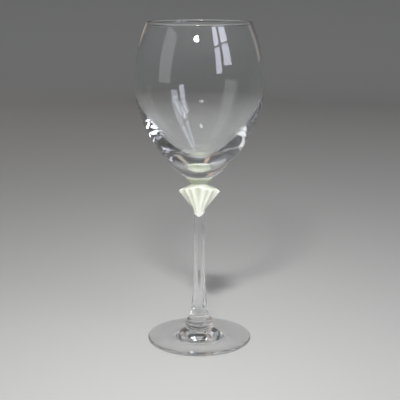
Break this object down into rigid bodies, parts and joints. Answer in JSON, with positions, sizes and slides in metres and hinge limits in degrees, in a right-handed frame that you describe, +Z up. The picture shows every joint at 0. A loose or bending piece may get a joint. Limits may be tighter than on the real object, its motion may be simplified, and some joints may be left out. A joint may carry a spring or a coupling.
{
  "type": "water glass",
  "caption": "Stemmed water glass: a clear tulip bowl on a frosted fan-shaped knop, a slender faceted stem and a thin round foot.",
  "frame": {"origin": "centre of the foot, on the plane it rests on", "axes": "+Z up along the stem, X along the width of the fan knop, Y from the front of the fan to its back"},
  "size_m": [0.087, 0.087, 0.22],
  "materials": {
    "clear_glass": "clear, fire polished",
    "frosted_glass": "satin, acid etched"
  },
  "bodies": {
    "root": {"foot": "clear_glass", "foot_collar": "clear_glass", "stem": "clear_glass", "fan_knop": "frosted_glass", "bowl_collar": "frosted_glass", "bowl": "clear_glass"}
  },
  "joints": []
}
